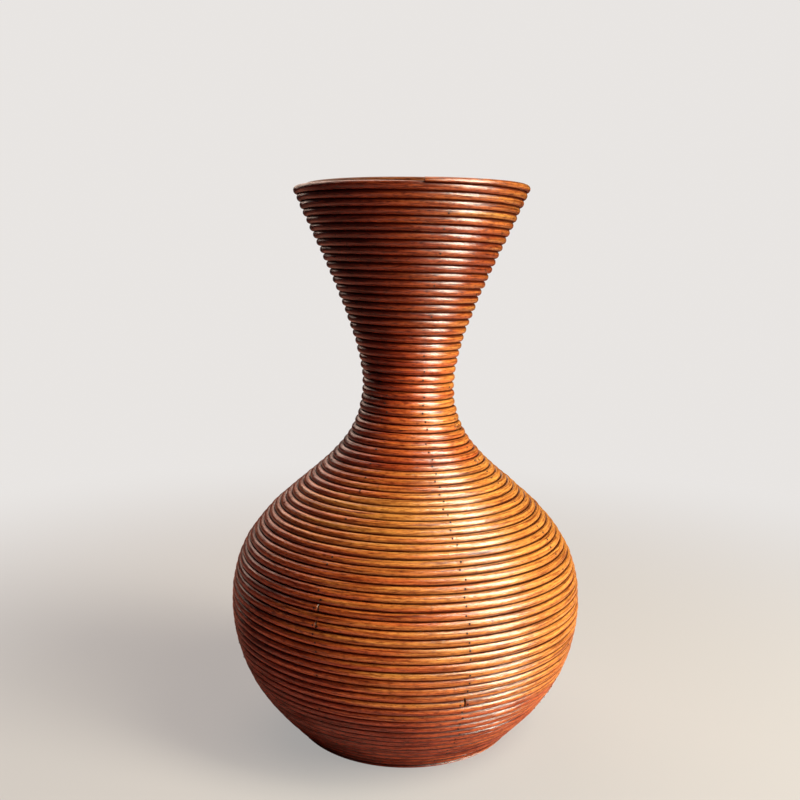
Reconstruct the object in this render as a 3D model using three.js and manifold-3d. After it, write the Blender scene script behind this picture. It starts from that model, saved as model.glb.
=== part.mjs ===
// Rattan vase: canes wound in one left-handed spiral over eight ribs, hoops and a notched base board.
// Millimetres, +Z up. The origin is the middle of the foot, and the front of the vase faces -Y.

import * as THREE from 'three';
import { mergeVertices } from 'three/addons/utils/BufferGeometryUtils.js';
import Module from 'manifold-3d';

// Outline of the wall, measured to the outside of the canes
const HEIGHT = 464;
const FOOT_RADIUS = 96;
const FOOT_LEAN = THREE.MathUtils.degToRad(37);
const FOOT_FULLNESS = 22;
const BELLY_RADIUS = 150;
const BELLY_HEIGHT = 116;
const BELLY_FULLNESS_BELOW = 65;
const BELLY_FULLNESS_ABOVE = 94;
const NECK_RADIUS = 39;
const NECK_HEIGHT = 299;
const NECK_FULLNESS_BELOW = 85;
const NECK_FULLNESS_ABOVE = 47;
const RIM_RADIUS = 99;
const RIM_LEAN = THREE.MathUtils.degToRad(21);
const RIM_FULLNESS = 34;

// Canes of the wall: their thickness at the foot, belly, neck and rim, with an even change between
const FOOT_CANE = 6.25;
const BELLY_CANE = 5.75;
const NECK_CANE = 6.55;
const RIM_CANE = 5.95;
const TURN_GAP = 0.5;
const THIN_START = 1.2;
const TIP_ANGLE = THREE.MathUtils.degToRad(-84.5);
// A full last turn would rise above the rim, so its end is thinned to stay level with it
const TIP_RISE = 2.6;
const TIP_THICKNESS = 2.8;
const TIP_LENGTH = 160;
// Lengths of the canes in the order they are wound; on a longer or shorter wall they all change alike
const CANE_LENGTHS = [
  2850, 2970, 2680, 1960, 3280, 2540, 2530, 1820, 3050, 2520, 2680, 2440, 1950, 1640, 2860, 2680, 2680, 3190,
];

// Ribs and hoops of the frame
const RIB_COUNT = 8;
const RIB_DIAMETER = 8;
const RIB_ANGLE = THREE.MathUtils.degToRad(-71.5);
const BELLY_HOOP_DIAMETER = 8;
const NECK_HOOP_DIAMETER = 6;
const RIM_HOOP_DIAMETER = 9;

// Base board
const BOARD_THICKNESS = 10;

// Gaps between pieces that touch, and from the ribs to what the vase stands on
const JOINT_GAP = 0.3;
const SEAT_GAP = 0.6;
const RIB_FLOOR_GAP = 0.5;

// Facets: every turn is a run of straight lengths, two to a rib, each rib behind the middle of one
const STEPS_PER_TURN = 2 * RIB_COUNT;
const CANE_SIDES = 3;
const RIB_SIDES = 6;
const RIB_STEPS = 40;
const HOOP_SIDES = 8;
const BOARD_STEPS = 64;
const WALL_STEPS = 400;

// Share of a turn that parts a place on the spiral from its neighbours on the next turn
const NEAREST_NEIGHBOUR = 0.5;
const FARTHEST_NEIGHBOUR = 1.5;

const FULL_TURN = 2 * Math.PI;
const STEP_ANGLE = FULL_TURN / STEPS_PER_TURN;
const FLAT_SHARE = Math.cos(STEP_ANGLE / 2);
const CORNER_ANGLE = RIB_ANGLE + STEP_ANGLE / 2;

const ribRadius = RIB_DIAMETER / 2;

// A three-sided cane lies with one flat side inwards and its ridge outwards
function ridgeOf(thickness) {
  return thickness / 2 / Math.sin(Math.PI / CANE_SIDES);
}

function insideOf(thickness) {
  return ridgeOf(thickness) * Math.cos(Math.PI / CANE_SIDES);
}

const wasm = await Module();
wasm.setup();

const caneFinish = { color: 0xb8702e, roughness: 0.4, metalness: 0 };
const frameFinish = { color: 0x8a5428, roughness: 0.6, metalness: 0 };
const boardFinish = { color: 0x9c7a52, roughness: 0.8, metalness: 0 };

const vase = new THREE.Group();

function addPiece(name, geometry, finish) {
  const piece = new THREE.Mesh(geometry, new THREE.MeshStandardMaterial({ ...finish, flatShading: true }));
  piece.name = name;
  vase.add(piece);
  return piece;
}

// Middle line of the wall as (radius, height), from the foot to the rim
function makeWallLine() {
  // The ridge of the thin start touches what the vase stands on
  const startDrop = (FOOT_CANE - THIN_START) / 2;
  const footHeight = startDrop * Math.cos(FOOT_LEAN) + ridgeOf(FOOT_CANE) * Math.sin(FOOT_LEAN);
  const foot = new THREE.Vector2(FOOT_RADIUS - FOOT_CANE / 2, footHeight);
  const belly = new THREE.Vector2(BELLY_RADIUS - BELLY_CANE / 2, BELLY_HEIGHT);
  const neck = new THREE.Vector2(NECK_RADIUS - NECK_CANE / 2, NECK_HEIGHT);
  const rim = new THREE.Vector2(RIM_RADIUS - RIM_CANE / 2, HEIGHT + TIP_RISE - RIM_CANE / 2);
  const along = (lean, length) => new THREE.Vector2(Math.sin(lean), Math.cos(lean)).multiplyScalar(length);
  const above = (point, length) => new THREE.Vector2(point.x, point.y + length);

  const line = new THREE.CurvePath();
  line.add(new THREE.CubicBezierCurve(
    foot, foot.clone().add(along(FOOT_LEAN, FOOT_FULLNESS)), above(belly, -BELLY_FULLNESS_BELOW), belly));
  line.add(new THREE.CubicBezierCurve(
    belly, above(belly, BELLY_FULLNESS_ABOVE), above(neck, -NECK_FULLNESS_BELOW), neck));
  line.add(new THREE.CubicBezierCurve(
    neck, above(neck, NECK_FULLNESS_ABOVE), rim.clone().sub(along(RIM_LEAN, RIM_FULLNESS)), rim));
  return line;
}

const wallLine = makeWallLine();
const wallLength = wallLine.getLength();
const [footLength, shoulderLength] = wallLine.curves.map((curve) => curve.getLength());
const bellyStation = footLength;
const neckStation = footLength + shoulderLength;

// Point of the wall at a length up its line and a depth inside it; past its ends the line runs straight
function wallPoint(station, depth = 0) {
  const share = THREE.MathUtils.clamp(station / wallLength, 0, 1);
  const tangent = wallLine.getTangent(share);
  const point = wallLine.getPoint(share).addScaledVector(tangent, station - share * wallLength);
  const inwards = new THREE.Vector2(-tangent.y, tangent.x);
  return point.addScaledVector(inwards, depth);
}

// A flat-sided turn is nearer the axis between its corners
function flatShareAt(angle) {
  const fromCorner = THREE.MathUtils.euclideanModulo(angle - CORNER_ANGLE, STEP_ANGLE);
  return FLAT_SHARE / Math.cos(fromCorner - STEP_ANGLE / 2);
}

function placeOnTurn(wallPlace, angle) {
  const radius = wallPlace.x * flatShareAt(angle);
  return new THREE.Vector3(radius * Math.cos(angle), radius * Math.sin(angle), wallPlace.y);
}

// Thickness of the cane at a length up the wall
function thicknessAt(station) {
  const between = (low, high, from, to) => THREE.MathUtils.mapLinear(station, low, high, from, to);
  if (station < bellyStation) {
    return between(0, bellyStation, FOOT_CANE, BELLY_CANE);
  }
  if (station < neckStation) {
    return between(bellyStation, neckStation, BELLY_CANE, NECK_CANE);
  }
  return between(neckStation, wallLength, NECK_CANE, RIM_CANE);
}

function pitchAt(station) {
  return thicknessAt(station) + TURN_GAP;
}

// Turns of the spiral wound by each of many even steps up the wall, from the first full cane at the foot
const wallStep = wallLength / WALL_STEPS;
const turnsBySteps = [0];
for (let step = 0; step < WALL_STEPS; step += 1) {
  turnsBySteps.push(turnsBySteps[step] + wallStep / pitchAt((step + 0.5) * wallStep));
}
const turnCount = turnsBySteps[WALL_STEPS];
const startTurn = (THIN_START - FOOT_CANE) / pitchAt(0);

function stationAt(turn) {
  const above = turnsBySteps.findIndex((turns) => turns > turn);
  const step = above < 0 ? WALL_STEPS : Math.max(above, 1);
  return THREE.MathUtils.mapLinear(
    turn, turnsBySteps[step - 1], turnsBySteps[step], (step - 1) * wallStep, step * wallStep);
}

function angleAt(turn) {
  return TIP_ANGLE + FULL_TURN * (turnCount - turn);
}

function turnAt(angle) {
  return turnCount - (angle - TIP_ANGLE) / FULL_TURN;
}

function turnLengthAt(turn) {
  return FULL_TURN * wallPoint(stationAt(turn)).x;
}

// Corners of the cane where it passes a turn: thin at the foot so that it stands level, and thin at the tip
function caneSection(turn) {
  const angle = angleAt(turn);
  const fullStation = stationAt(Math.max(turn, 0));
  const thickness = thicknessAt(fullStation);
  const lower = fullStation - thickness / 2;
  const toTip = (turnCount - turn) * turnLengthAt(turn);
  const tipShare = Math.min(toTip / TIP_LENGTH, 1);
  const tipLimit = lower + THREE.MathUtils.lerp(TIP_THICKNESS, thickness, tipShare);
  const upper = Math.min(stationAt(turn) + thickness / 2, tipLimit);
  return [
    placeOnTurn(wallPoint(lower, insideOf(thickness)), angle),
    placeOnTurn(wallPoint((lower + upper) / 2, -ridgeOf(thickness)), angle),
    placeOnTurn(wallPoint(upper, insideOf(thickness)), angle),
  ];
}

// Turns at which the spiral passes a given place of every rib or corner, between two turns
function passings(firstTurn, lastTurn, angle, spacing) {
  const share = spacing / FULL_TURN;
  const offset = turnAt(angle);
  const turns = [];
  for (let count = Math.ceil((firstTurn - offset) / share); offset + count * share < lastTurn; count += 1) {
    turns.push(offset + count * share);
  }
  return turns;
}

// Length of cane that is wound when the spiral reaches each of a row of turns
function woundLengths(turns) {
  let last = startTurn;
  let wound = 0;
  return turns.map((turn) => {
    wound += (turn - last) * turnLengthAt((turn + last) / 2);
    last = turn;
    return wound;
  });
}

// Each cane but the last runs to the first rib past its share of the spiral
function findJoints() {
  const ribTurns = passings(startTurn, turnCount, RIB_ANGLE, FULL_TURN / RIB_COUNT);
  const wound = woundLengths([...ribTurns, turnCount]);
  const listedLength = CANE_LENGTHS.reduce((sum, length) => sum + length, 0);
  const stretch = wound.at(-1) / listedLength;
  let due = 0;
  return CANE_LENGTHS.slice(0, -1).map((length) => {
    due += length * stretch;
    return ribTurns[wound.findIndex((soFar) => soFar > due)];
  });
}

// Closed tube through a row of sections with their corners in the same order
function joinSections(sections) {
  const sides = sections[0].length;
  const indices = [];
  for (let row = 0; row + 1 < sections.length; row += 1) {
    for (let side = 0; side < sides; side += 1) {
      const here = row * sides + side;
      const beside = row * sides + (side + 1) % sides;
      indices.push(here, beside, beside + sides, here, beside + sides, here + sides);
    }
  }
  const lastRow = (sections.length - 1) * sides;
  for (let side = 1; side + 1 < sides; side += 1) {
    indices.push(0, side + 1, side);
    indices.push(lastRow, lastRow + side, lastRow + side + 1);
  }
  const geometry = new THREE.BufferGeometry().setFromPoints(sections.flat());
  geometry.setIndex(indices);
  geometry.computeVertexNormals();
  return geometry;
}

function caneTurns(first, last) {
  const atFirst = first + JOINT_GAP / 2 / turnLengthAt(first);
  const atLast = last - JOINT_GAP / 2 / turnLengthAt(last);
  return [atFirst, ...passings(atFirst, atLast, CORNER_ANGLE, STEP_ANGLE), atLast];
}

// Least gap between the corners of turns that lie next to each other
function leastTurnGap(turns) {
  const corners = turns.flatMap((turn) => caneSection(turn).map((point) => ({ turn, point })));
  let least = Infinity;
  corners.forEach((lower, index) => {
    for (let next = index + 1; next < corners.length; next += 1) {
      const upper = corners[next];
      const between = upper.turn - lower.turn;
      if (between > FARTHEST_NEIGHBOUR) {
        break;
      }
      if (between > NEAREST_NEIGHBOUR) {
        least = Math.min(least, lower.point.distanceTo(upper.point));
      }
    }
  });
  return least;
}

function addCanes() {
  const ends = [startTurn, ...findJoints(), turnCount];
  const allTurns = [];
  for (let index = 0; index + 1 < ends.length; index += 1) {
    const turns = caneTurns(ends[index], ends[index + 1]);
    const name = `cane_${String(index + 1).padStart(2, '0')}`;
    addPiece(name, joinSections(turns.map(caneSection)), caneFinish);
    allTurns.push(...turns);
  }
  console.log(`Turns of the wall: ${turnCount.toFixed(1)}, in ${ends.length - 1} canes`);
  console.log(`Least gap between turns: ${leastTurnGap(allTurns).toFixed(2)} mm`);
}

// Middle of a rod of the frame that lies behind the canes
function depthBehindCanes(station, radius) {
  return insideOf(thicknessAt(station)) + SEAT_GAP + radius;
}

// Middle line of a rib, in the XZ plane, behind the flats of the canes
class RibLine extends THREE.Curve {
  constructor(firstStation, lastStation) {
    super();
    this.firstStation = firstStation;
    this.lastStation = lastStation;
  }

  getPoint(share, target = new THREE.Vector3()) {
    const station = THREE.MathUtils.lerp(this.firstStation, this.lastStation, share);
    const place = wallPoint(station, depthBehindCanes(station, ribRadius));
    return target.set(place.x * FLAT_SHARE, 0, place.y);
  }
}

// The rim hoop gives the vase its height, and the ribs end under it
const rimHoopRadius = RIM_HOOP_DIAMETER / 2;
const rimHoopDepth = depthBehindCanes(wallLength, rimHoopRadius);
const rimHoopDrop = TIP_RISE - RIM_CANE / 2 + rimHoopDepth * Math.sin(RIM_LEAN) + rimHoopRadius;
const rimStation = wallLength - rimHoopDrop / Math.cos(RIM_LEAN);
const ribTop = rimStation - rimHoopRadius - JOINT_GAP;
const ribFootHeight = ribRadius * Math.sin(FOOT_LEAN) + RIB_FLOOR_GAP;
const ribFoot = (ribFootHeight - wallPoint(0, depthBehindCanes(0, ribRadius)).y) / Math.cos(FOOT_LEAN);

function makeRib(radius, firstStation, lastStation) {
  const corner = radius / Math.cos(Math.PI / RIB_SIDES);
  const section = new THREE.Shape();
  for (let side = 0; side < RIB_SIDES; side += 1) {
    const angle = side * FULL_TURN / RIB_SIDES;
    const method = side === 0 ? 'moveTo' : 'lineTo';
    section[method](corner * Math.cos(angle), corner * Math.sin(angle));
  }
  section.closePath();
  const path = new RibLine(firstStation, lastStation);
  return new THREE.ExtrudeGeometry(section, { steps: RIB_STEPS, extrudePath: path });
}

function ribAngle(index) {
  return RIB_ANGLE - index * FULL_TURN / RIB_COUNT;
}

function addRibs() {
  for (let index = 0; index < RIB_COUNT; index += 1) {
    const rib = addPiece(`rib_${index + 1}`, makeRib(ribRadius, ribFoot, ribTop), frameFinish);
    rib.rotation.z = ribAngle(index);
  }
}

// A hoop has the same flats as the turns, so it lies along them; its place is given behind a flat
function addHoop(name, place, diameter) {
  const radius = place.x / FLAT_SHARE;
  const hoop = addPiece(
    name, new THREE.TorusGeometry(radius, diameter / 2, HOOP_SIDES, STEPS_PER_TURN), frameFinish);
  hoop.position.z = place.y;
  hoop.rotation.z = CORNER_ANGLE;
}

function hoopPlace(station, depth) {
  const place = wallPoint(station, depth);
  place.x *= FLAT_SHARE;
  return place;
}

function addHoops() {
  const behindRibs = (station, diameter) => (
    hoopPlace(station, depthBehindCanes(station, RIB_DIAMETER) + SEAT_GAP + diameter / 2)
  );
  addHoop('belly_hoop', behindRibs(bellyStation, BELLY_HOOP_DIAMETER), BELLY_HOOP_DIAMETER);
  addHoop('neck_hoop', behindRibs(neckStation, NECK_HOOP_DIAMETER), NECK_HOOP_DIAMETER);
  addHoop('rim_hoop', hoopPlace(rimStation, rimHoopDepth), RIM_HOOP_DIAMETER);
}

function toSolid(geometry) {
  const bare = geometry.clone();
  bare.deleteAttribute('normal');
  bare.deleteAttribute('uv');
  const merged = mergeVertices(bare);
  return new wasm.Manifold(new wasm.Mesh({
    numProp: 3,
    vertProperties: Float32Array.from(merged.attributes.position.array),
    triVerts: Uint32Array.from(merged.index.array),
  }));
}

function toGeometry(solid) {
  const mesh = solid.getMesh();
  const geometry = new THREE.BufferGeometry();
  geometry.setAttribute('position', new THREE.BufferAttribute(mesh.vertProperties, 3));
  geometry.setIndex(new THREE.BufferAttribute(mesh.triVerts, 1));
  geometry.computeVertexNormals();
  return geometry;
}

// Round board with its edge sloped along the lowest turns and a notch for each rib
function addBaseBoard() {
  const edge = wallPoint(0, insideOf(FOOT_CANE) + JOINT_GAP);
  const edgeRadius = (height) => (edge.x + (height - edge.y) * Math.tan(FOOT_LEAN)) * FLAT_SHARE;
  const profile = [
    new THREE.Vector2(0, 0),
    new THREE.Vector2(edgeRadius(0), 0),
    new THREE.Vector2(edgeRadius(BOARD_THICKNESS), BOARD_THICKNESS),
    new THREE.Vector2(0, BOARD_THICKNESS),
  ];
  let board = toSolid(new THREE.LatheGeometry(profile, BOARD_STEPS).rotateX(Math.PI / 2));
  const notch = makeRib(ribRadius + JOINT_GAP, ribFoot - RIB_DIAMETER, bellyStation);
  for (let index = 0; index < RIB_COUNT; index += 1) {
    board = board.subtract(toSolid(notch.clone().rotateZ(ribAngle(index))));
  }
  addPiece('base_board', toGeometry(board), boardFinish);
}

addBaseBoard();
addRibs();
addHoops();
addCanes();

export default vase;
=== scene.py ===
import math

import bpy
import numpy as np
from mathutils import Matrix, Vector


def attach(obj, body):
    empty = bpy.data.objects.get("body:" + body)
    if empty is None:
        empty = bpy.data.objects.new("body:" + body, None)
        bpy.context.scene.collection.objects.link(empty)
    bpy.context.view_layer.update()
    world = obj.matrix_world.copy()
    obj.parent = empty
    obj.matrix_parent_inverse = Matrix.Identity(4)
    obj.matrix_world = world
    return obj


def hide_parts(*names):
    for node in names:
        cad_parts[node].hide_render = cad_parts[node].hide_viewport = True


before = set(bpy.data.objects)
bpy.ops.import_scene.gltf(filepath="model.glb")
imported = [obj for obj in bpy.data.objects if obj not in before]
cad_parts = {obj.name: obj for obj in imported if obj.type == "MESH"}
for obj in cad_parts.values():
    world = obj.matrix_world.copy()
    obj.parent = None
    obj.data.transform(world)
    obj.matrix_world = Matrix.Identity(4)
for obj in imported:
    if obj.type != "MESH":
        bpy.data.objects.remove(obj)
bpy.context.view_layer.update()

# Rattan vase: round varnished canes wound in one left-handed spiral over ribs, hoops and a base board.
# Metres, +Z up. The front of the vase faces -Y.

# Outline of the wall, measured to the outside of the canes
HEIGHT = 0.464
FOOT_RADIUS = 0.096
FOOT_LEAN = math.radians(37)
FOOT_FULLNESS = 0.022
BELLY_RADIUS = 0.150
BELLY_HEIGHT = 0.116
BELLY_FULLNESS_BELOW = 0.065
BELLY_FULLNESS_ABOVE = 0.094
NECK_RADIUS = 0.039
NECK_HEIGHT = 0.299
NECK_FULLNESS_BELOW = 0.085
NECK_FULLNESS_ABOVE = 0.047
RIM_RADIUS = 0.099
RIM_LEAN = math.radians(21)
RIM_FULLNESS = 0.034

# Spiral of the wall: thickness of the canes from foot to rim, its two thin ends, and the length of each cane
FOOT_CANE = 0.00625
BELLY_CANE = 0.00575
NECK_CANE = 0.00655
RIM_CANE = 0.00595
TURN_GAP = 0.0005
SOLID_CANE_SIDES = 3
THIN_START = 0.0012
TIP_ANGLE = math.radians(-84.5)
TIP_RISE = 0.0026
TIP_THICKNESS = 0.0028
TIP_LENGTH = 0.160
CANE_LENGTHS = (
    2.85, 2.97, 2.68, 1.96, 3.28, 2.54, 2.53, 1.82, 3.05,
    2.52, 2.68, 2.44, 1.95, 1.64, 2.86, 2.68, 2.68, 3.19,
)

# Frame of the vase, with the angles at which the hoops' ends lap
RIB_COUNT = 8
RIB_RADIUS = 0.004
RIB_ANGLE = math.radians(-71.5)
BELLY_HOOP_RADIUS = 0.004
NECK_HOOP_RADIUS = 0.003
RIM_HOOP_RADIUS = 0.0045
BELLY_SEAM = math.radians(20)
NECK_SEAM = math.radians(130)
RIM_SEAM = math.radians(75)
SCARF_LENGTH = 0.045
THIN_END = 0.06

# Shape of a real cane: touching its neighbours, never quite even, with a ring at each knot and eased ends
CANE_UNEVEN = 0.045
CANE_OWN_SIZE = 0.6
CANE_PRESS = 0.02
CANE_SWAY = 0.00012
CANE_PROUD = 0.0003
SIZE_WAVE = 0.31
SWAY_WAVE = 0.23
PROUD_WAVE = 0.43
WAVE_STRETCHES = (1.0, 0.61, 0.37)
KNOT_SPACING = (0.24, 0.42)
KNOT_HALF_LENGTH = 0.0009
KNOT_RINGS = np.array([-0.003, -0.0015, -0.0006, 0, 0.0006, 0.0015, 0.003])
KNOT_SWELL = 0.035
JOINT_GAPS = (0.0005, 0.0011)
CUT_BEVEL = 0.0005
CUT_EASING = 0.18

# Tone of each cane in the order wound, the higher the paler, and the painted shade that darkens the funnel
# above the neck and widens its dark grooves
# The lowest canes are set darker and redder, partly as painted shade at the foot
CANE_TONES = (
    -0.2, -0.15, 0.05, 0.35, 0.55, 0.75, 0.75, 0.65, 0.55,
    0.75, 0.85, 0.95, 0.5, 0.0, 0.0, -0.1, 0.0, 0.3,
)
TONE_SPREAD = 0.1
FUNNEL_PAINTED_SHADE = 0.3
FUNNEL_SHADE_RISE = 0.03
FUNNEL_SHADE_LENGTH = 0.05
FUNNEL_START = 0.32
FUNNEL_END = 0.36
FUNNEL_GROOVE_SHADE_WIDTH = 0.2

# Painted shade that darkens the grooves between the lowest turns, and painted light that makes the wall paler
# where it faces the window and where it faces up
FOOT_PAINTED_SHADE = 0.4
FOOT_SHADE_LENGTH = 0.075
PAINTED_WINDOW_LIGHT = 1.2
PAINTED_LIGHT_ANGLE = math.radians(-10)
PAINTED_LIGHT_HEIGHT = math.radians(24)

# Brads that hold the canes
BRAD_RADIUS = 0.00085
BRAD_SEGMENTS = 8
BRAD_RINGS = 4
BRAD_DOME = 0.4
BRAD_SINK = 0.0001
BRAD_WANDER = 0.0018
BRAD_TILT = math.radians(11)
BRAD_SETBACK = 0.003
BRAD_SHARES = (0.9, 0.35, 0.5, 0.5, 0.5, 0.5, 0.5, 0.45)
FUNNEL_SHARE = 0.35
FIRST_BRAD_TURN = 0.5
BOARD_BRADS = 16

# Meshes of the rods, how far apart their lengths lie in the grain, and the seed of the random draws
ROD_STEP = 0.005
ROD_SIDES = 14
CUT_EDGE_ANGLE = math.radians(38)
LENGTH_SHIFT = 10
SEED = 7

FULL_TURN = 2 * math.pi
STEPS_OF_LINE = 600

random = np.random.default_rng(SEED)


# Middle line of the wall, as radius and height from the foot to the rim
def bezier(start, start_handle, end_handle, end):
    share = np.linspace(0, 1, STEPS_OF_LINE)[:, None]
    rest = 1 - share
    return (
        rest**3 * np.array(start)
        + 3 * rest**2 * share * np.array(start_handle)
        + 3 * rest * share**2 * np.array(end_handle)
        + share**3 * np.array(end)
    )


def draw_wall_line():
    ridge = FOOT_CANE / 2 / math.sin(math.pi / SOLID_CANE_SIDES)
    foot_height = (FOOT_CANE - THIN_START) / 2 * math.cos(FOOT_LEAN) + ridge * math.sin(FOOT_LEAN)
    foot = (FOOT_RADIUS - FOOT_CANE / 2, foot_height)
    belly = (BELLY_RADIUS - BELLY_CANE / 2, BELLY_HEIGHT)
    neck = (NECK_RADIUS - NECK_CANE / 2, NECK_HEIGHT)
    rim = (RIM_RADIUS - RIM_CANE / 2, HEIGHT + TIP_RISE - RIM_CANE / 2)
    foot_handle = np.array(foot) + FOOT_FULLNESS * np.array([math.sin(FOOT_LEAN), math.cos(FOOT_LEAN)])
    rim_handle = np.array(rim) - RIM_FULLNESS * np.array([math.sin(RIM_LEAN), math.cos(RIM_LEAN)])
    below_belly = (belly[0], belly[1] - BELLY_FULLNESS_BELOW)
    above_belly = (belly[0], belly[1] + BELLY_FULLNESS_ABOVE)
    below_neck = (neck[0], neck[1] - NECK_FULLNESS_BELOW)
    above_neck = (neck[0], neck[1] + NECK_FULLNESS_ABOVE)
    lower = bezier(foot, foot_handle, below_belly, belly)
    shoulder = bezier(belly, above_belly, below_neck, neck)
    funnel = bezier(neck, above_neck, rim_handle, rim)
    return np.concatenate([lower, shoulder[1:], funnel[1:]])


WALL_LINE = draw_wall_line()
STATIONS = np.concatenate([[0], np.cumsum(np.linalg.norm(np.diff(WALL_LINE, axis=0), axis=1))])
WALL_LENGTH = STATIONS[-1]
WALL_TANGENT = np.gradient(WALL_LINE, STATIONS, axis=0)
BELLY_STATION = STATIONS[STEPS_OF_LINE - 1]
NECK_STATION = STATIONS[2 * STEPS_OF_LINE - 2]


def along_wall(values, station):
    return np.stack([np.interp(station, STATIONS, values[:, axis]) for axis in (0, 1)], axis=-1)


def wall_place(station):
    """Radius and height on the wall's line, with the ways up and out there; straight past the ends."""
    held = np.clip(station, 0, WALL_LENGTH)
    upward = along_wall(WALL_TANGENT, held)
    upward /= np.linalg.norm(upward, axis=-1, keepdims=True)
    place = along_wall(WALL_LINE, held) + upward * (station - held)[..., None]
    outward = np.stack([upward[..., 1], -upward[..., 0]], axis=-1)
    return place, upward, outward


def turn_about_axis(flat, angle):
    """Points or directions given as radius and height, set at angles round the vase's axis."""
    return np.stack([flat[..., 0] * np.cos(angle), flat[..., 0] * np.sin(angle), flat[..., 1]], axis=-1)


def thickness_at(station):
    landmarks = (0, BELLY_STATION, NECK_STATION, WALL_LENGTH)
    return np.interp(station, landmarks, (FOOT_CANE, BELLY_CANE, NECK_CANE, RIM_CANE))


def radius_at(station):
    """Radius of a real cane, which touches its neighbours."""
    return (thickness_at(station) + TURN_GAP) / 2


# The spiral, counted in turns from the first full cane at the foot to the tip at the rim
STATION_MIDDLES = (STATIONS[1:] + STATIONS[:-1]) / 2
TURNS_BY_STATION = np.concatenate([[0], np.cumsum(np.diff(STATIONS) / (2 * radius_at(STATION_MIDDLES)))])
TURN_COUNT = TURNS_BY_STATION[-1]
START_TURN = (THIN_START - FOOT_CANE) / (2 * radius_at(0))


def station_at(turn):
    below = np.minimum(turn, 0) * 2 * radius_at(0)
    return np.interp(turn, TURNS_BY_STATION, STATIONS) + below


def angle_at(turn):
    return TIP_ANGLE + FULL_TURN * (TURN_COUNT - turn)


def turn_length_at(turn):
    place, _, _ = wall_place(station_at(turn))
    return FULL_TURN * place[..., 0]


def rib_turns():
    """Every turn at which the spiral passes a rib, from the foot to the rim."""
    offset = TURN_COUNT - (RIB_ANGLE - TIP_ANGLE) / FULL_TURN
    first = math.ceil((START_TURN - offset) * RIB_COUNT)
    last = math.ceil((TURN_COUNT - offset) * RIB_COUNT)
    return offset + np.arange(first, last) / RIB_COUNT


def find_joints(passings):
    """Each cane but the last runs to the first rib past its share of the spiral."""
    ends = np.concatenate([[START_TURN], passings, [TURN_COUNT]])
    wound = np.cumsum(np.diff(ends) * turn_length_at((ends[1:] + ends[:-1]) / 2))
    due = np.cumsum(CANE_LENGTHS)[:-1] * wound[-1] / sum(CANE_LENGTHS)
    return passings[np.searchsorted(wound, due, side="right")]


RIB_TURNS = rib_turns()
JOINT_TURNS = find_joints(RIB_TURNS)


# Rods
def slow_wave(length, wavelength):
    """A smooth uneven curve between about -1 and 1, another one at each call."""
    phases = random.uniform(0, FULL_TURN, len(WAVE_STRETCHES))
    waves = 0
    for stretch, phase in zip(WAVE_STRETCHES, phases):
        waves = waves + np.sin(FULL_TURN * length / (wavelength * stretch) + phase)
    return waves / len(WAVE_STRETCHES)


def sweep_rod(name, centres, outwards, sideways, out_sizes, side_sizes, lengths, marks):
    """A closed rod of round or oval rings, with cut ends and its grain laid out by length and girth.

    The marks of each ring are its tone, which on the canes holds painted light and shade, how near it is to a
    knot, whether it is cut, and how much painted shade the turn above and the foot lay in its grooves.
    """
    rings = len(centres)
    girth = np.arange(ROD_SIDES) / ROD_SIDES
    turns = FULL_TURN * girth
    points = (
        centres[:, None]
        - outwards[:, None] * (out_sizes[:, None] * np.cos(turns))[..., None]
        + sideways[:, None] * (side_sizes[:, None] * np.sin(turns))[..., None]
    ).reshape(-1, 3)

    row = np.arange(rings - 1)[:, None] * ROD_SIDES
    side = np.arange(ROD_SIDES)
    beside = (side + 1) % ROD_SIDES
    walls = np.stack([row + side, row + beside, row + ROD_SIDES + beside, row + ROD_SIDES + side], axis=-1)
    faces = walls.reshape(-1, 4).tolist()
    faces.append(side[::-1].tolist())
    faces.append((side + (rings - 1) * ROD_SIDES).tolist())

    mesh = bpy.data.meshes.new(name)
    mesh.from_pydata(points.tolist(), [], faces)

    grain = np.zeros((rings - 1, ROD_SIDES, 4, 2))
    grain[..., 0] = np.stack([lengths[:-1], lengths[:-1], lengths[1:], lengths[1:]], axis=-1)[:, None]
    grain[..., 1] = np.stack([girth, girth + 1 / ROD_SIDES, girth + 1 / ROD_SIDES, girth], axis=-1)
    first_cut = np.stack([np.full(ROD_SIDES, lengths[0]), girth[::-1]], axis=-1)
    last_cut = np.stack([np.full(ROD_SIDES, lengths[-1]), girth], axis=-1)
    layout = np.concatenate([grain.reshape(-1, 2), first_cut, last_cut])
    mesh.uv_layers.new(name="grain").data.foreach_set("uv", layout.ravel())

    paint = np.repeat(marks, ROD_SIDES, axis=0)
    mesh.color_attributes.new("marks", "FLOAT_COLOR", "POINT").data.foreach_set("color", paint.ravel())

    rod = bpy.data.objects.new(name, mesh)
    bpy.context.scene.collection.objects.link(rod)
    finish_mesh(rod)
    return rod


def finish_mesh(piece):
    """Faces turned outwards and shaded smooth, but for cut edges."""
    bpy.ops.object.select_all(action="DESELECT")
    piece.select_set(True)
    bpy.context.view_layer.objects.active = piece
    bpy.ops.object.mode_set(mode="EDIT")
    bpy.ops.mesh.select_all(action="SELECT")
    bpy.ops.mesh.normals_make_consistent(inside=False)
    bpy.ops.object.mode_set(mode="OBJECT")
    bpy.ops.object.shade_smooth_by_angle(angle=CUT_EDGE_ANGLE)


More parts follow.
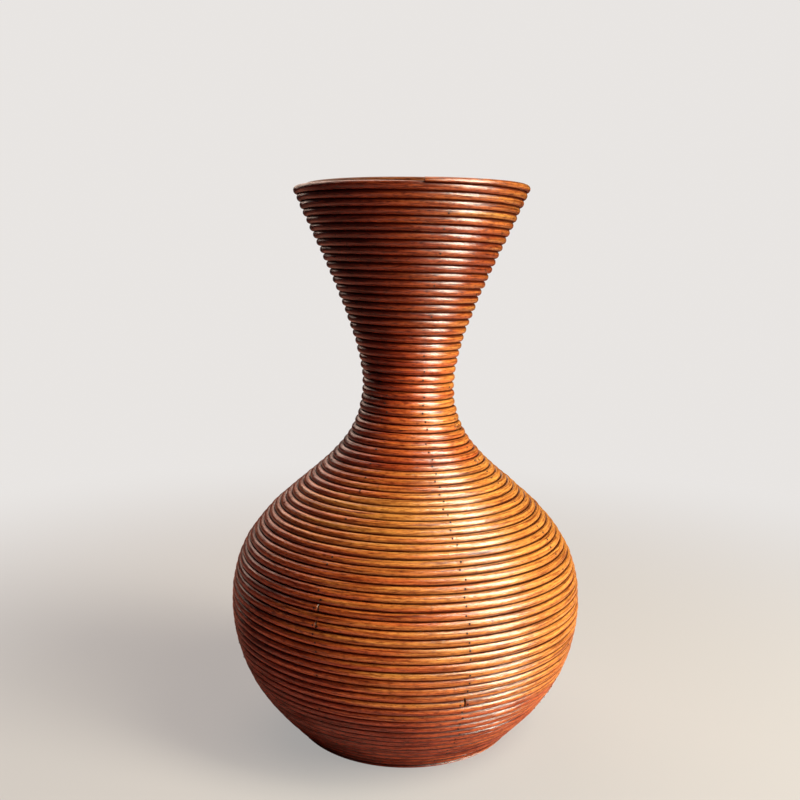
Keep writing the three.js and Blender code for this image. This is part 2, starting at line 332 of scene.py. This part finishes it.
def lay_out_rod(total):
    """Lengths of a rod's rings, closer at knots and cut ends, and how near each is to a knot and a cut."""
    first_knot = random.uniform(0, KNOT_SPACING[0])
    knots = first_knot + np.cumsum(random.uniform(*KNOT_SPACING, int(total / KNOT_SPACING[0]) + 1))
    even = np.linspace(0, total, int(total / ROD_STEP))
    lengths = np.unique(np.concatenate([even, (knots[:, None] + KNOT_RINGS).ravel()]))
    lengths = lengths[(lengths > CUT_BEVEL) & (lengths < total - CUT_BEVEL)]
    lengths = np.concatenate([[0, CUT_BEVEL], lengths, [total - CUT_BEVEL, total]])
    from_knot = np.min(np.abs(lengths[:, None] - knots), axis=1)
    knot = np.exp(-((from_knot / KNOT_HALF_LENGTH) ** 2))
    cut = (np.minimum(lengths, total - lengths) < CUT_BEVEL / 2).astype(float)
    return lengths, knot, cut


def dress(piece, finish, slot, *nodes):
    """Gives a piece its finish, ties it to the body and hides the nodes that it stands for; the slot is not
    used.
    """
    piece.data.materials.clear()
    piece.data.materials.append(finish)
    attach(piece, "root")
    if nodes:
        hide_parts(*nodes)


# Canes of the wall
def cane_edges(turn):
    """Lower and upper edge of the cane on the wall, with its thin start at the foot and its tip."""
    full_station = station_at(np.maximum(turn, 0))
    thickness = thickness_at(full_station)
    lower = full_station - thickness / 2
    to_tip = (TURN_COUNT - turn) * turn_length_at(turn)
    limit = TIP_THICKNESS + (thickness - TIP_THICKNESS) * np.clip(to_tip / TIP_LENGTH, 0, 1)
    upper = np.minimum(station_at(turn) + thickness / 2, lower + limit)
    return lower, upper


def make_cane(index, first_turn, last_turn):
    gap_before, gap_after = random.uniform(*JOINT_GAPS, 2) / 2
    first = first_turn + gap_before / turn_length_at(first_turn)
    last = last_turn - gap_after / turn_length_at(last_turn)

    fine_turns = np.linspace(first, last, int((last - first) * STEPS_OF_LINE))
    fine_steps = np.diff(fine_turns) * turn_length_at((fine_turns[1:] + fine_turns[:-1]) / 2)
    fine_lengths = np.concatenate([[0], np.cumsum(fine_steps)])
    lengths, knot, cut = lay_out_rod(fine_lengths[-1])
    turns = np.interp(lengths, fine_lengths, fine_turns)

    lower, upper = cane_edges(turns)
    middle = (lower + upper) / 2
    place, upward, outward = wall_place(middle)
    angle = angle_at(turns)
    own_size = random.uniform(-CANE_OWN_SIZE, CANE_OWN_SIZE)
    uneven = 1 + CANE_UNEVEN * (slow_wave(lengths, SIZE_WAVE) + own_size) + KNOT_SWELL * knot
    eased_radius = radius_at(middle) * (1 - CUT_EASING * cut)
    sway = CANE_SWAY * slow_wave(lengths, SWAY_WAVE)
    proud = CANE_PROUD * slow_wave(lengths, PROUD_WAVE)
    centres = place + upward * sway[:, None] + outward * proud[:, None]
    side_sizes = eased_radius * np.maximum(uneven, 1 + CANE_PRESS)

    # Painted shade: the dark grooves between the lowest turns reach wider, as if shaded by the turn above
    foot_shade = FOOT_PAINTED_SHADE * np.clip(1 - middle / FOOT_SHADE_LENGTH, 0, 1)
    covered = np.where(turns < TURN_COUNT - 1, 1 + foot_shade, 0)
    # Painted shade: canes darken from just above the neck into the funnel, for the shade under its overhang
    funnel_shade_amount = np.clip((middle - NECK_STATION - FUNNEL_SHADE_RISE) / FUNNEL_SHADE_LENGTH, 0, 1)
    # Painted light: the tone is raised where the wall faces the window and where it faces up, so that side
    # renders paler as if lit
    painted_side_light = outward[:, 0] * math.cos(PAINTED_LIGHT_HEIGHT) * np.cos(angle - PAINTED_LIGHT_ANGLE)
    painted_light = painted_side_light + np.maximum(outward[:, 1], 0) * math.sin(PAINTED_LIGHT_HEIGHT)
    own_tone = CANE_TONES[index - 1] + random.uniform(-TONE_SPREAD, TONE_SPREAD)
    tone = own_tone + PAINTED_WINDOW_LIGHT * painted_light - FUNNEL_PAINTED_SHADE * funnel_shade_amount

    cane = sweep_rod(
        f"wound_cane_{index:02d}",
        turn_about_axis(centres, angle),
        turn_about_axis(outward, angle),
        turn_about_axis(upward, angle),
        eased_radius * uneven,
        side_sizes * (upper - lower) / thickness_at(middle),
        lengths + LENGTH_SHIFT * index,
        np.stack([tone, knot, cut, covered], axis=-1),
    )
    dress(cane, CANE_FINISH, "rattan_cane", f"cane_{index:02d}")


def make_canes():
    ends = np.concatenate([[START_TURN], JOINT_TURNS, [TURN_COUNT]])
    for index in range(len(ends) - 1):
        make_cane(index + 1, ends[index], ends[index + 1])


# Ribs and hoops
RIM_HOOP_DEPTH = radius_at(WALL_LENGTH) + RIM_HOOP_RADIUS
RIM_HOOP_DROP = TIP_RISE - RIM_CANE / 2 + RIM_HOOP_DEPTH * math.sin(RIM_LEAN) + RIM_HOOP_RADIUS
RIM_STATION = WALL_LENGTH - RIM_HOOP_DROP / math.cos(RIM_LEAN)


def make_rib(number):
    lengths, knot, cut = lay_out_rod(RIM_STATION - RIM_HOOP_RADIUS)
    place, upward, outward = wall_place(lengths)
    centres = place - outward * (radius_at(lengths) + RIB_RADIUS)[:, None]
    angle = np.full(len(lengths), RIB_ANGLE - (number - 1) * FULL_TURN / RIB_COUNT)
    around = np.stack([-np.sin(angle), np.cos(angle), np.zeros(len(lengths))], axis=-1)
    sizes = RIB_RADIUS * (1 + KNOT_SWELL * knot - CUT_EASING * cut)
    tone = np.full(len(lengths), random.uniform(0, 1))
    rib = sweep_rod(
        f"bent_rib_{number}",
        turn_about_axis(centres, angle),
        turn_about_axis(outward, angle),
        around,
        sizes,
        sizes,
        lengths + LENGTH_SHIFT * number,
        np.stack([tone, knot, cut, np.zeros(len(lengths))], axis=-1),
    )
    dress(rib, FRAME_FINISH, "rattan_frame", f"rib_{number}")


def make_ribs():
    for number in range(1, RIB_COUNT + 1):
        make_rib(number)


def make_hoop(name, node, radius, height, thickness, seam_angle):
    """A cane bent to a ring, its two thinned ends lapped on each other."""
    lengths, knot, cut = lay_out_rod(FULL_TURN * radius + SCARF_LENGTH)
    angle = seam_angle + lengths / radius
    from_start = np.clip(lengths / SCARF_LENGTH, THIN_END, 1)
    from_end = np.clip((lengths[-1] - lengths) / SCARF_LENGTH, THIN_END, 1)
    share = np.minimum(from_start, from_end)
    lift = thickness * (1 - share) * np.where(from_end < from_start, 1, -1)
    flat = np.stack([np.full(len(lengths), radius), height + lift], axis=-1)
    outward = np.tile([1.0, 0.0], (len(lengths), 1))
    upward = np.tile([0.0, 1.0], (len(lengths), 1))
    tone = np.full(len(lengths), random.uniform(0, 1))
    hoop = sweep_rod(
        name,
        turn_about_axis(flat, angle),
        turn_about_axis(outward, angle),
        turn_about_axis(upward, angle),
        thickness * (1 + KNOT_SWELL * knot),
        thickness * share,
        lengths,
        np.stack([tone, knot, cut, np.zeros(len(lengths))], axis=-1),
    )
    dress(hoop, FRAME_FINISH, "rattan_frame", node)


def make_hoops():
    """The hoops at the belly and neck lie behind the ribs, and the one at the rim above them."""
    for name, station, rib_space, thickness, seam_angle in (
        ("belly", BELLY_STATION, 2 * RIB_RADIUS, BELLY_HOOP_RADIUS, BELLY_SEAM),
        ("neck", NECK_STATION, 2 * RIB_RADIUS, NECK_HOOP_RADIUS, NECK_SEAM),
        ("rim", RIM_STATION, 0, RIM_HOOP_RADIUS, RIM_SEAM),
    ):
        place, _, outward = wall_place(np.array(station))
        radius, height = place - outward * (radius_at(station) + rib_space + thickness)
        make_hoop(f"lapped_{name}_hoop", f"{name}_hoop", radius, height, thickness, seam_angle)


# Brads
def model_brad_head():
    """A low round head with an eased edge, as its points and faces."""
    bpy.ops.object.select_all(action="DESELECT")
    bpy.ops.mesh.primitive_uv_sphere_add(segments=BRAD_SEGMENTS, ring_count=BRAD_RINGS, radius=BRAD_RADIUS)
    bpy.ops.object.mode_set(mode="EDIT")
    bpy.ops.mesh.bisect(plane_co=(0, 0, 0), plane_no=(0, 0, 1), clear_inner=True, use_fill=True)
    bpy.ops.mesh.select_all(action="SELECT")
    bpy.ops.transform.resize(value=(1, 1, BRAD_DOME))
    bpy.ops.object.mode_set(mode="OBJECT")
    head = bpy.context.object
    points = np.array([vertex.co[:] for vertex in head.data.vertices])
    faces = [list(face.vertices) for face in head.data.polygons]
    bpy.data.objects.remove(head)
    return points, faces


def brad_places(turns):
    """Where brads sit on the canes and which way they face, each a little off its mark."""
    wander = random.uniform(-BRAD_WANDER, BRAD_WANDER, len(turns))
    turns = turns + wander / turn_length_at(turns)
    lower, upper = cane_edges(turns)
    middle = (lower + upper) / 2
    place, upward, outward = wall_place(middle)
    tilt = random.uniform(-BRAD_TILT, BRAD_TILT, len(turns))[:, None]
    facing = outward * np.cos(tilt) + upward * np.sin(tilt)
    spots = place + facing * (radius_at(middle) - BRAD_SINK)[:, None]
    angle = angle_at(turns)
    return turn_about_axis(spots, angle), turn_about_axis(facing, angle)


def make_brads(name, turns, head):
    points, faces = head
    spots, facings = brad_places(turns)
    all_points = []
    all_faces = []
    for spot, facing in zip(spots, facings):
        turned = Vector(facing).to_track_quat("Z", "Y").to_matrix()
        first = len(all_points)
        all_points.extend((np.array(turned) @ points.T).T + spot)
        all_faces.extend([first + corner for corner in face] for face in faces)
    mesh = bpy.data.meshes.new(name)
    mesh.from_pydata([tuple(point) for point in all_points], [], all_faces)
    brads = bpy.data.objects.new(name, mesh)
    bpy.context.scene.collection.objects.link(brads)
    finish_mesh(brads)
    dress(brads, BRAD_FINISH, "brad_steel")


def brad_turns(number):
    """Turns that show a brad over a rib; where two canes meet there, each end has its own."""
    ribs_past = np.round((RIB_ANGLE - angle_at(RIB_TURNS)) / FULL_TURN * RIB_COUNT).astype(int)
    row = RIB_TURNS[(ribs_past % RIB_COUNT == number - 1) & (RIB_TURNS > FIRST_BRAD_TURN)]
    share = BRAD_SHARES[number - 1] * np.where(station_at(row) > NECK_STATION, FUNNEL_SHARE, 1)
    is_joint = np.isin(row, JOINT_TURNS)
    single = row[(random.random(len(row)) < share) & ~is_joint]
    joints = row[is_joint]
    setback = BRAD_SETBACK / turn_length_at(joints)
    return np.concatenate([single, joints - setback, joints + setback])


def make_all_brads():
    head = model_brad_head()
    for number in range(1, RIB_COUNT + 1):
        make_brads(f"brads_of_rib_{number}", brad_turns(number), head)
    make_brads("brads_of_board", FIRST_BRAD_TURN + np.arange(BOARD_BRADS) / BOARD_BRADS, head)


# Patterns of the finishes: stretch, detail and roughness of each
CANE_PATCHES = ((9, 2.5, 1), 3, 0.55)
CANE_FIBRES = ((26, 12, 1), 5, 0.7)
CANE_STAINS = ((11, 8, 1), 4, 0.65)
CANE_FLECKS = ((160, 15, 1), 3, 0.65)
BOARD_RINGS = ((6, 55, 30), 4, 0.6)
BOARD_PORES = ((60, 900, 400), 2, 0.5)
BRAD_RUST = ((700, 700, 700), 3, 0.6)

# How tone and patches set a cane's place on its ramp, and how strongly each pattern shows
TONE_GAIN = 0.18
TONE_BASE = 0.11
PATCH_GAIN = 0.60
STREAK_SHARE = 0.9
STAIN_SHARE = 0.9
FLECKED_TONES = (0.2, 1.8)
FLECK_SHARES = (1.0, 0.6)
KNOT_SHARE = 0.4

# Reach of the painted shade in the grooves and of the worn varnish on a cane, and its gloss and relief
GROOVE_SHADE_REACH = (0.62, 0.94)
WORN_REACH = (0.84, 1.0)
DULL_FIBRES = (0.35, 0.65)
COATED_FIBRES = (0.36, 0.56)
THIN_COAT = 0.25
CANE_SPECULAR = 0.1
COAT_IOR = 1.9
COAT_ROUGHNESS = 0.16
FIBRE_RELIEF = 0.5
FIBRE_DEPTH = 0.0006

# Surfaces of the base board and the brads
PORE_SHARE = 0.5
PORE_REACH = (0.3, 0.7)
BOARD_ROUGHNESS = (0.85, 0.6)
PORE_RELIEF = 0.3
PORE_DEPTH = 0.0004
RUST_REACH = (0.3, 0.7)
BRAD_ROUGHNESS = (0.4, 0.7)
BRAD_METAL = 0.6

# Colours along the ramps of the finishes, as places and linear colours
WALL_TONES = (
    (0.28, (0.26, 0.031, 0.010)),
    (0.40, (0.50, 0.080, 0.023)),
    (0.52, (0.74, 0.178, 0.041)),
    (0.66, (0.86, 0.375, 0.080)),
)
FRAME_TONES = (
    (0.30, (0.18, 0.045, 0.014)),
    (0.45, (0.30, 0.095, 0.026)),
    (0.60, (0.42, 0.160, 0.045)),
    (0.76, (0.52, 0.240, 0.080)),
)
STREAK_TONES = (
    (0.38, (0.26, 0.12, 0.09)),
    (0.50, (0.78, 0.68, 0.60)),
    (0.60, (1.00, 1.00, 1.00)),
)
FLECK_TONES = (
    (0.35, (0.28, 0.16, 0.12)),
    (0.50, (0.84, 0.79, 0.75)),
    (0.62, (1.00, 1.00, 1.00)),
)
STAIN_TONES = (
    (0.34, (0.30, 0.15, 0.12)),
    (0.46, (0.86, 0.78, 0.72)),
    (0.58, (1.00, 1.00, 1.00)),
)
WOOD_TONES = (
    (0.30, (0.22, 0.115, 0.048)),
    (0.50, (0.36, 0.210, 0.100)),
    (0.70, (0.47, 0.300, 0.150)),
)
BRAD_TONES = (
    (0.35, (0.016, 0.012, 0.010)),
    (0.60, (0.050, 0.030, 0.020)),
    (0.75, (0.100, 0.045, 0.020)),
)
PORE_COLOUR = (0.09, 0.014, 0.005)
# Painted shade: the groove colour darkens each cane next to the turns above and below, and the funnel colour
# darkens the funnel
GROOVE_SHADE_COLOUR = (0.05, 0.004, 0.001)
FUNNEL_SHADE_COLOUR = (0.73, 0.84, 0.82)
CUT_COLOUR = (0.22, 0.105, 0.042)


# Building of the finishes
def new_finish(name):
    finish = bpy.data.materials.new(name)
    finish.use_nodes = True
    return finish, finish.node_tree, finish.node_tree.nodes["Principled BSDF"]


def add_node(tree, kind, **settings):
    node = tree.nodes.new(kind)
    for key, value in settings.items():
        setattr(node, key, value)
    return node


def add_math(tree, operation, *values):
    node = add_node(tree, "ShaderNodeMath", operation=operation)
    for socket, value in zip(node.inputs, values):
        if isinstance(value, (int, float)):
            socket.default_value = value
        else:
            tree.links.new(value, socket)
    return node.outputs[0]


def add_range(tree, value, low, high, to_low, to_high):
    node = add_node(tree, "ShaderNodeMapRange", interpolation_type="SMOOTHSTEP")
    tree.links.new(value, node.inputs["Value"])
    node.inputs["From Min"].default_value = low
    node.inputs["From Max"].default_value = high
    node.inputs["To Min"].default_value = to_low
    node.inputs["To Max"].default_value = to_high
    return node.outputs["Result"]


def add_noise(tree, vector, stretch, detail, roughness):
    scaled = add_node(tree, "ShaderNodeVectorMath", operation="MULTIPLY")
    tree.links.new(vector, scaled.inputs[0])
    scaled.inputs[1].default_value = stretch
    noise = add_node(tree, "ShaderNodeTexNoise")
    tree.links.new(scaled.outputs[0], noise.inputs["Vector"])
    noise.inputs["Scale"].default_value = 1
    noise.inputs["Detail"].default_value = detail
    noise.inputs["Roughness"].default_value = roughness
    return noise.outputs["Fac"]


def add_ramp(tree, value, stops):
    ramp = add_node(tree, "ShaderNodeValToRGB")
    tree.links.new(value, ramp.inputs["Fac"])
    elements = ramp.color_ramp.elements
    while len(elements) < len(stops):
        elements.new(1)
    for element, (place, colour) in zip(elements, stops):
        element.position = place
        element.color = (*colour, 1)
    return ramp.outputs["Color"]


def add_relief(tree, height, strength, depth):
    relief = add_node(tree, "ShaderNodeBump")
    relief.inputs["Strength"].default_value = strength
    relief.inputs["Distance"].default_value = depth
    tree.links.new(height, relief.inputs["Height"])
    return relief.outputs["Normal"]


def mix_colours(tree, blend, share, under, over):
    node = add_node(tree, "ShaderNodeMixRGB", blend_type=blend)
    for socket, value in zip(node.inputs, (share, under, over)):
        if isinstance(value, (int, float)):
            socket.default_value = value
        elif isinstance(value, tuple):
            socket.default_value = (*value, 1)
        else:
            tree.links.new(value, socket)
    return node.outputs["Color"]


def read_marks(tree):
    """Tone of a rod with any painted light and shade in it, and where it has a knot, is cut and is shaded by
    the turn above and the painted shade at the foot.
    """
    marks = add_node(tree, "ShaderNodeAttribute", attribute_name="marks")
    parts = add_node(tree, "ShaderNodeSeparateColor")
    tree.links.new(marks.outputs["Color"], parts.inputs["Color"])
    return parts.outputs["Red"], parts.outputs["Green"], parts.outputs["Blue"], marks.outputs["Alpha"]


def find_funnel(tree):
    """A share by height: 0 below the funnel and 1 in it."""
    place = add_node(tree, "ShaderNodeTexCoord")
    level = add_node(tree, "ShaderNodeSeparateXYZ")
    tree.links.new(place.outputs["Object"], level.inputs[0])
    return add_range(tree, level.outputs["Z"], FUNNEL_START, FUNNEL_END, 0.0, 1.0)


def find_grooves(tree, grain, covered, in_funnel):
    """How near a point on a cane is to the turns above and below, for the painted shade in the grooves and
    the worn varnish.
    """
    split = add_node(tree, "ShaderNodeSeparateXYZ")
    tree.links.new(grain, split.inputs[0])
    upward = add_math(tree, "SINE", add_math(tree, "MULTIPLY", split.outputs["Y"], FULL_TURN))
    below = add_math(tree, "MULTIPLY", upward, -1)
    above = add_math(tree, "MULTIPLY", upward, add_math(tree, "MULTIPLY_ADD", in_funnel, FUNNEL_GROOVE_SHADE_WIDTH, 1))
    shaded_above = add_math(tree, "MULTIPLY", above, covered)
    worn_above = add_math(tree, "MULTIPLY", above, add_math(tree, "MINIMUM", covered, 1))
    return add_math(tree, "MAXIMUM", shaded_above, below), add_math(tree, "MAXIMUM", worn_above, below)


def rattan_finish(name, tones, roughness, coat, groove_shade_depth, painted_funnel_shade):
    """Varnished cane: long fibres, uneven stain, dark knots, painted shade in the grooves and on the funnel,
    plain cut ends.
    """
    finish, tree, shader = new_finish(name)
    grain = add_node(tree, "ShaderNodeUVMap", uv_map="grain").outputs["UV"]
    tone, knot, cut, covered = read_marks(tree)
    in_funnel = find_funnel(tree)
    shaded_groove, worn_groove = find_grooves(tree, grain, covered, in_funnel)
    patches = add_noise(tree, grain, *CANE_PATCHES)
    fibres = add_noise(tree, grain, *CANE_FIBRES)
    stains = add_noise(tree, grain, *CANE_STAINS)
    flecks = add_noise(tree, grain, *CANE_FLECKS)

    # The tone mark carries the painted window light and the painted funnel shade into the colour
    shade = add_math(tree, "MULTIPLY_ADD", tone, TONE_GAIN, TONE_BASE)
    shade = add_math(tree, "MULTIPLY_ADD", patches, PATCH_GAIN, shade)
    colour = add_ramp(tree, shade, tones)
    colour = mix_colours(tree, "MULTIPLY", STREAK_SHARE, colour, add_ramp(tree, fibres, STREAK_TONES))
    colour = mix_colours(tree, "MULTIPLY", STAIN_SHARE, colour, add_ramp(tree, stains, STAIN_TONES))
    fleck_share = add_range(tree, tone, *FLECKED_TONES, *FLECK_SHARES)
    colour = mix_colours(tree, "MULTIPLY", fleck_share, colour, add_ramp(tree, flecks, FLECK_TONES))
    colour = mix_colours(tree, "MIX", add_math(tree, "MULTIPLY", knot, KNOT_SHARE), colour, PORE_COLOUR)
    # Painted shade: the funnel colour darkens the canes in the funnel
    funnel_shade_share = add_math(tree, "MULTIPLY", in_funnel, painted_funnel_shade)
    colour = mix_colours(tree, "MULTIPLY", funnel_shade_share, colour, FUNNEL_SHADE_COLOUR)
    # Painted shade: the groove colour darkens each cane where the turns above and below shade it
    groove_shade_share = add_range(tree, shaded_groove, *GROOVE_SHADE_REACH, 0.0, groove_shade_depth)
    colour = mix_colours(tree, "MIX", groove_shade_share, colour, GROOVE_SHADE_COLOUR)
    colour = mix_colours(tree, "MIX", cut, colour, CUT_COLOUR)
    tree.links.new(colour, shader.inputs["Base Color"])

    dullness = add_range(tree, fibres, *DULL_FIBRES, roughness[1], roughness[0])
    tree.links.new(dullness, shader.inputs["Roughness"])
    shader.inputs["Specular IOR Level"].default_value = CANE_SPECULAR
    varnish = add_range(tree, fibres, *COATED_FIBRES, coat * THIN_COAT, coat)
    bare = add_range(tree, worn_groove, *WORN_REACH, 0.0, 1.0)
    varnish = add_math(tree, "MULTIPLY", varnish, add_math(tree, "SUBTRACT", 1, bare))
    tree.links.new(varnish, shader.inputs["Coat Weight"])
    shader.inputs["Coat IOR"].default_value = COAT_IOR
    shader.inputs["Coat Roughness"].default_value = COAT_ROUGHNESS
    relief = add_relief(tree, add_math(tree, "ADD", fibres, flecks), FIBRE_RELIEF, FIBRE_DEPTH)
    tree.links.new(relief, shader.inputs["Normal"])
    tree.links.new(relief, shader.inputs["Coat Normal"])
    return finish


def base_wood_finish():
    finish, tree, shader = new_finish("sawn_base_wood")
    place = add_node(tree, "ShaderNodeTexCoord")
    rings = add_noise(tree, place.outputs["Object"], *BOARD_RINGS)
    pores = add_noise(tree, place.outputs["Object"], *BOARD_PORES)
    colour = add_ramp(tree, rings, WOOD_TONES)
    colour = mix_colours(tree, "MULTIPLY", PORE_SHARE, colour, add_ramp(tree, pores, STREAK_TONES))
    tree.links.new(colour, shader.inputs["Base Color"])
    dullness = add_range(tree, pores, *PORE_REACH, *BOARD_ROUGHNESS)
    tree.links.new(dullness, shader.inputs["Roughness"])
    tree.links.new(add_relief(tree, pores, PORE_RELIEF, PORE_DEPTH), shader.inputs["Normal"])
    return finish


def brad_finish():
    finish, tree, shader = new_finish("dark_brad_steel")
    place = add_node(tree, "ShaderNodeTexCoord")
    rust = add_noise(tree, place.outputs["Object"], *BRAD_RUST)
    colour = add_ramp(tree, rust, BRAD_TONES)
    tree.links.new(colour, shader.inputs["Base Color"])
    shader.inputs["Metallic"].default_value = BRAD_METAL
    dullness = add_range(tree, rust, *RUST_REACH, *BRAD_ROUGHNESS)
    tree.links.new(dullness, shader.inputs["Roughness"])
    return finish


CANE_FINISH = rattan_finish(
    "varnished_honey_cane", WALL_TONES, roughness=(0.30, 0.48), coat=1.0, groove_shade_depth=0.92, painted_funnel_shade=1.0
)
FRAME_FINISH = rattan_finish(
    "plain_brown_cane", FRAME_TONES, roughness=(0.42, 0.60), coat=0.3, groove_shade_depth=0.0, painted_funnel_shade=0.0
)
BRAD_FINISH = brad_finish()
BOARD_FINISH = base_wood_finish()

make_canes()
make_ribs()
make_hoops()
make_all_brads()
base_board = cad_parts["base_board"]
base_board.data.materials.clear()
base_board.data.materials.append(BOARD_FINISH)

# Floor, backdrop and room
FLOOR_SIZE = 30
FLOOR_COLOUR = (0.44, 0.40, 0.38)
FLOOR_ROUGHNESS = 0.8
BOUNCE_COLOUR = (0.44, 0.18, 0.14)
BACKDROP_COLOUR = (0.81, 0.785, 0.765)
FADE_START = 0.25
FADE_END = 1.1
NEAR_FADE = 0.45
ROOM_COLOUR = (1.0, 0.60, 0.60)
ROOM_LIGHT = 0.01
ROOM_GLOSS = 0.03

# Camera, pitched down from a level view; its lens and sensor are in millimetres
CAMERA_PLACE = (0, -0.7988, 0.4013)
LEVEL_VIEW = math.radians(90)
CAMERA_PITCH = math.radians(8.31)
CAMERA_YAW = math.radians(0.49)
CAMERA_ROLL = math.radians(0.76)
CAMERA_LENS = 42.33
SENSOR_WIDTH = 36

# Lamps: a tall window on the right, a warm lamp behind on the left, and a wide dim one beside the window
LAMP_TARGET = (0, 0, 0.22)
WINDOW_AZIMUTH = math.radians(64.5)
WINDOW_HEIGHT = math.radians(30)
WINDOW_DISTANCE = 1.6
WINDOW_SIZE = (0.55, 2.2)
WINDOW_POWER = 62
WINDOW_COLOUR = (1.0, 1.0, 0.84)
BACK_AZIMUTH = math.radians(-160)
BACK_HEIGHT = math.radians(42)
BACK_DISTANCE = 1.8
BACK_SIZE = (1.8, 1.8)
BACK_POWER = 17
BACK_COLOUR = (1.0, 0.74, 0.60)
SIDE_AZIMUTH = math.radians(57)
SIDE_HEIGHT = math.radians(30)
SIDE_DISTANCE = 2.2
SIDE_SIZE = (2.6, 2.4)
SIDE_POWER = 30
SIDE_COLOUR = (1.0, 0.96, 0.80)


def make_floor():
    """A pale floor that keeps the shadow near the vase and passes into the backdrop further off.

    The light that it throws back is redder than it looks.
    """
    bpy.ops.object.select_all(action="DESELECT")
    bpy.ops.mesh.primitive_plane_add(size=FLOOR_SIZE)
    floor = bpy.context.object
    floor.name = "floor"
    finish, tree, shader = new_finish("pale_floor")
    shader.inputs["Roughness"].default_value = FLOOR_ROUGHNESS
    far = add_node(tree, "ShaderNodeEmission")
    far.inputs["Color"].default_value = (*BACKDROP_COLOUR, 1)
    place = add_node(tree, "ShaderNodeTexCoord")
    distance = add_node(tree, "ShaderNodeVectorMath", operation="LENGTH")
    tree.links.new(place.outputs["Object"], distance.inputs[0])
    path = add_node(tree, "ShaderNodeLightPath")
    colour = mix_colours(tree, "MIX", path.outputs["Is Camera Ray"], BOUNCE_COLOUR, FLOOR_COLOUR)
    tree.links.new(colour, shader.inputs["Base Color"])
    fade = add_range(tree, distance.outputs["Value"], FADE_START, FADE_END, NEAR_FADE, 1)
    mix = add_node(tree, "ShaderNodeMixShader")
    tree.links.new(add_math(tree, "MULTIPLY", fade, path.outputs["Is Camera Ray"]), mix.inputs["Fac"])
    tree.links.new(shader.outputs[0], mix.inputs[1])
    tree.links.new(far.outputs[0], mix.inputs[2])
    tree.links.new(mix.outputs[0], tree.nodes["Material Output"].inputs["Surface"])
    floor.data.materials.append(finish)


def make_world():
    """A dim room that the camera sees as a pale backdrop."""
    world = bpy.data.worlds.new("pale_studio")
    bpy.context.scene.world = world
    world.use_nodes = True
    tree = world.node_tree
    background = tree.nodes["Background"]
    path = add_node(tree, "ShaderNodeLightPath")
    seen = add_math(tree, "MAXIMUM", path.outputs["Is Camera Ray"], path.outputs["Is Transmission Ray"])
    colour = mix_colours(tree, "MIX", seen, ROOM_COLOUR, BACKDROP_COLOUR)
    tree.links.new(colour, background.inputs["Color"])
    gloss = add_math(tree, "MULTIPLY", path.outputs["Is Glossy Ray"], ROOM_GLOSS)
    strength = add_math(tree, "MAXIMUM", add_math(tree, "MAXIMUM", seen, gloss), ROOM_LIGHT)
    tree.links.new(strength, background.inputs["Strength"])


def make_lamp(name, azimuth, height, distance, size, power, colour):
    """A flat lamp that faces the vase; its azimuth is counted from the front towards +X."""
    lamp = bpy.data.lights.new(name, "AREA")
    lamp.shape = "RECTANGLE"
    lamp.size, lamp.size_y = size
    lamp.energy = power
    lamp.color = colour
    holder = bpy.data.objects.new(name, lamp)
    bpy.context.scene.collection.objects.link(holder)
    level = distance * math.cos(height)
    offset = Vector((level * math.sin(azimuth), -level * math.cos(azimuth), distance * math.sin(height)))
    holder.location = Vector(LAMP_TARGET) + offset
    holder.rotation_euler = (-offset).to_track_quat("-Z", "Y").to_euler()
    holder.visible_camera = False


def make_lamps():
    make_lamp(
        "window_lamp",
        WINDOW_AZIMUTH,
        WINDOW_HEIGHT,
        WINDOW_DISTANCE,
        WINDOW_SIZE,
        WINDOW_POWER,
        WINDOW_COLOUR,
    )
    make_lamp("back_lamp", BACK_AZIMUTH, BACK_HEIGHT, BACK_DISTANCE, BACK_SIZE, BACK_POWER, BACK_COLOUR)
    make_lamp("side_lamp", SIDE_AZIMUTH, SIDE_HEIGHT, SIDE_DISTANCE, SIDE_SIZE, SIDE_POWER, SIDE_COLOUR)


def make_camera():
    camera = bpy.data.cameras.new("front_camera")
    camera.lens = CAMERA_LENS
    camera.sensor_width = SENSOR_WIDTH
    holder = bpy.data.objects.new("front_camera", camera)
    bpy.context.scene.collection.objects.link(holder)
    holder.matrix_world = (
        Matrix.Translation(CAMERA_PLACE)
        @ Matrix.Rotation(CAMERA_YAW, 4, "Z")
        @ Matrix.Rotation(LEVEL_VIEW - CAMERA_PITCH, 4, "X")
        @ Matrix.Rotation(CAMERA_ROLL, 4, "Z")
    )
    bpy.context.scene.camera = holder


make_floor()
make_world()
make_lamps()
make_camera()
bpy.context.scene.view_settings.view_transform = "Standard"
